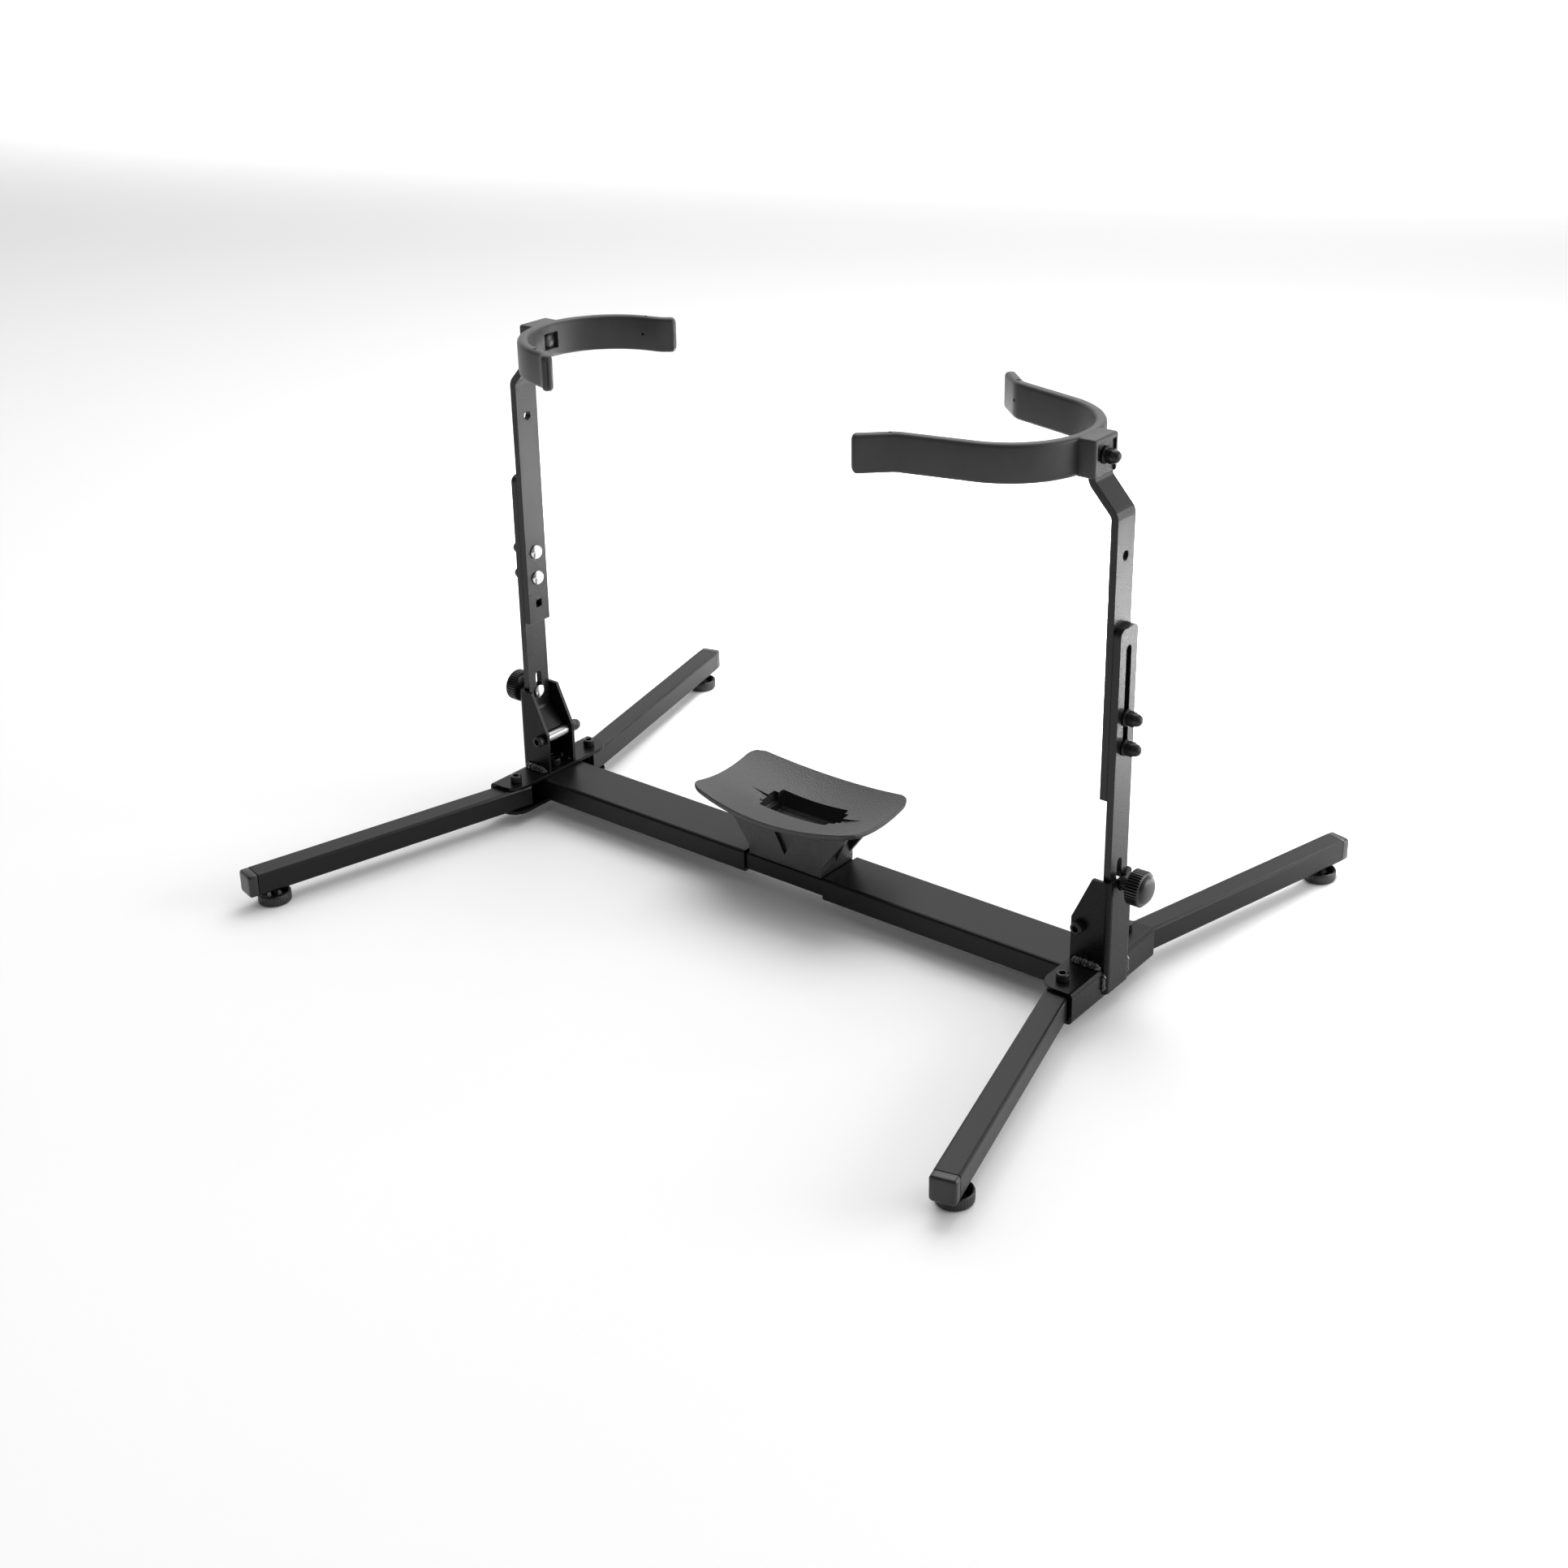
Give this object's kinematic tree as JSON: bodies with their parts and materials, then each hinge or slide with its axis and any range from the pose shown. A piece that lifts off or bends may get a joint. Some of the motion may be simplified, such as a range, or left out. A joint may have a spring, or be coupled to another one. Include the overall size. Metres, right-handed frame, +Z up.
{
  "type": "saxophone stand",
  "caption": "Folding floor stand that holds a saxophone over a padded saddle between two height-adjustable rubber yokes on fold-down posts.",
  "frame": {"origin": "on the floor under the saddle's centre", "axes": "+X along the beam toward the large yoke, +Y to the back, +Z up"},
  "size_m": [0.7212, 0.605, 0.4507],
  "materials": {
    "tube": "satin black powder coat",
    "plate": "satin black powder coat",
    "bar": "satin black powder coat",
    "screw": "black oxide",
    "zinc": "bright zinc",
    "steel": "bare",
    "plastic": "moulded",
    "rubber": "satin",
    "saddle": "fine grain"
  },
  "bodies": {
    "base": {"centre_tube": "tube", "saddle": "saddle"},
    "left_end": {"left_beam_tube": "tube", "left_end_channel": "plate", "left_bracket": "plate", "left_beam_screw": "screw", "left_post_pivot_screw": "screw", "left_post_pivot_nut": "screw", "front_left_leg_pivot_screw": "screw", "front_left_leg_pivot_nut": "zinc", "back_left_leg_pivot_screw": "screw", "back_left_leg_pivot_nut": "zinc"},
    "left_post": {"left_lower_post": "bar", "left_post_pivot_tube": "zinc"},
    "left_bar": {"left_upper_bar": "bar", "left_height_bolt_high": "zinc", "left_height_nut_high": "screw", "left_height_bolt_low": "zinc", "left_height_nut_low": "screw", "left_yoke": "rubber", "left_yoke_core": "steel", "left_yoke_bolt": "screw", "left_yoke_nut": "screw"},
    "left_clamp": {"left_clamp_bolt": "zinc"},
    "left_knob": {"left_clamp_knob": "plastic"},
    "front_left_leg": {"front_left_leg": "tube", "front_left_leg_cap": "plastic"},
    "front_left_foot": {"front_left_levelling_foot": "plastic"},
    "back_left_leg": {"back_left_leg": "tube", "back_left_leg_cap": "plastic"},
    "back_left_foot": {"back_left_levelling_foot": "plastic"},
    "right_end": {"right_beam_tube": "tube", "right_end_channel": "plate", "right_bracket": "plate", "right_beam_screw": "screw", "right_post_pivot_screw": "screw", "right_post_pivot_nut": "screw", "front_right_leg_pivot_screw": "screw", "front_right_leg_pivot_nut": "zinc", "back_right_leg_pivot_screw": "screw", "back_right_leg_pivot_nut": "zinc"},
    "right_post": {"right_lower_post": "bar", "right_post_pivot_tube": "zinc"},
    "right_bar": {"right_upper_bar": "bar", "right_height_bolt_high": "zinc", "right_height_nut_high": "screw", "right_height_bolt_low": "zinc", "right_height_nut_low": "screw", "right_yoke": "rubber", "right_yoke_core": "steel", "right_yoke_bolt": "screw", "right_yoke_nut": "screw"},
    "right_clamp": {"right_clamp_bolt": "zinc"},
    "right_knob": {"right_clamp_knob": "plastic"},
    "front_right_leg": {"front_right_leg": "tube", "front_right_leg_cap": "plastic"},
    "front_right_foot": {"front_right_levelling_foot": "plastic"},
    "back_right_leg": {"back_right_leg": "tube", "back_right_leg_cap": "plastic"},
    "back_right_foot": {"back_right_levelling_foot": "plastic"}
  },
  "joints": [
    {"name": "left_width", "type": "slide", "parent": "base", "child": "left_end", "axis": [-1, 0, 0], "range_m": [0, 0.06]},
    {"name": "left_post_fold", "type": "hinge", "parent": "left_end", "child": "left_post", "pos_m": [-0.282, 0, 0.0672], "axis": [0, 1, 0], "range_deg": [0, 78]},
    {"name": "left_height", "type": "slide", "parent": "left_post", "child": "left_bar", "axis": [0, 0, 1], "range_m": [0, 0.05]},
    {"name": "left_clamp_lift", "type": "slide", "parent": "left_post", "child": "left_clamp", "axis": [0, 0, 1], "range_m": [0, 0.0165]},
    {"name": "left_knob_turn", "type": "hinge", "parent": "left_end", "child": "left_knob", "pos_m": [-0.32, 0, 0.1052], "axis": [1, 0, 0], "range_deg": [0, 720]},
    {"name": "front_left_leg_fold", "type": "hinge", "parent": "left_end", "child": "front_left_leg", "pos_m": [-0.2866, -0.0473, 0.0233], "axis": [0, 0, 1], "range_deg": [0, 104]},
    {"name": "front_left_foot_height", "type": "slide", "parent": "front_left_leg", "child": "front_left_foot", "axis": [0, 0, -1], "range_m": [-0.0035, 0.008]},
    {"name": "back_left_leg_fold", "type": "hinge", "parent": "left_end", "child": "back_left_leg", "pos_m": [-0.2866, 0.0473, 0.0233], "axis": [0, 0, -1], "range_deg": [0, 104]},
    {"name": "back_left_foot_height", "type": "slide", "parent": "back_left_leg", "child": "back_left_foot", "axis": [0, 0, -1], "range_m": [-0.0035, 0.008]},
    {"name": "right_width", "type": "slide", "parent": "base", "child": "right_end", "axis": [1, 0, 0], "range_m": [0, 0.06]},
    {"name": "right_post_fold", "type": "hinge", "parent": "right_end", "child": "right_post", "pos_m": [0.282, 0, 0.0672], "axis": [0, -1, 0], "range_deg": [0, 65]},
    {"name": "right_height", "type": "slide", "parent": "right_post", "child": "right_bar", "axis": [0, 0, 1], "range_m": [0, 0.05]},
    {"name": "right_clamp_lift", "type": "slide", "parent": "right_post", "child": "right_clamp", "axis": [0, 0, 1], "range_m": [0, 0.0165]},
    {"name": "right_knob_turn", "type": "hinge", "parent": "right_end", "child": "right_knob", "pos_m": [0.32, 0, 0.1052], "axis": [1, 0, 0], "range_deg": [0, 720]},
    {"name": "front_right_leg_fold", "type": "hinge", "parent": "right_end", "child": "front_right_leg", "pos_m": [0.2866, -0.0473, 0.0233], "axis": [0, 0, -1], "range_deg": [0, 104]},
    {"name": "front_right_foot_height", "type": "slide", "parent": "front_right_leg", "child": "front_right_foot", "axis": [0, 0, -1], "range_m": [-0.0035, 0.008]},
    {"name": "back_right_leg_fold", "type": "hinge", "parent": "right_end", "child": "back_right_leg", "pos_m": [0.2866, 0.0473, 0.0233], "axis": [0, 0, 1], "range_deg": [0, 104]},
    {"name": "back_right_foot_height", "type": "slide", "parent": "back_right_leg", "child": "back_right_foot", "axis": [0, 0, -1], "range_m": [-0.0035, 0.008]}
  ]
}
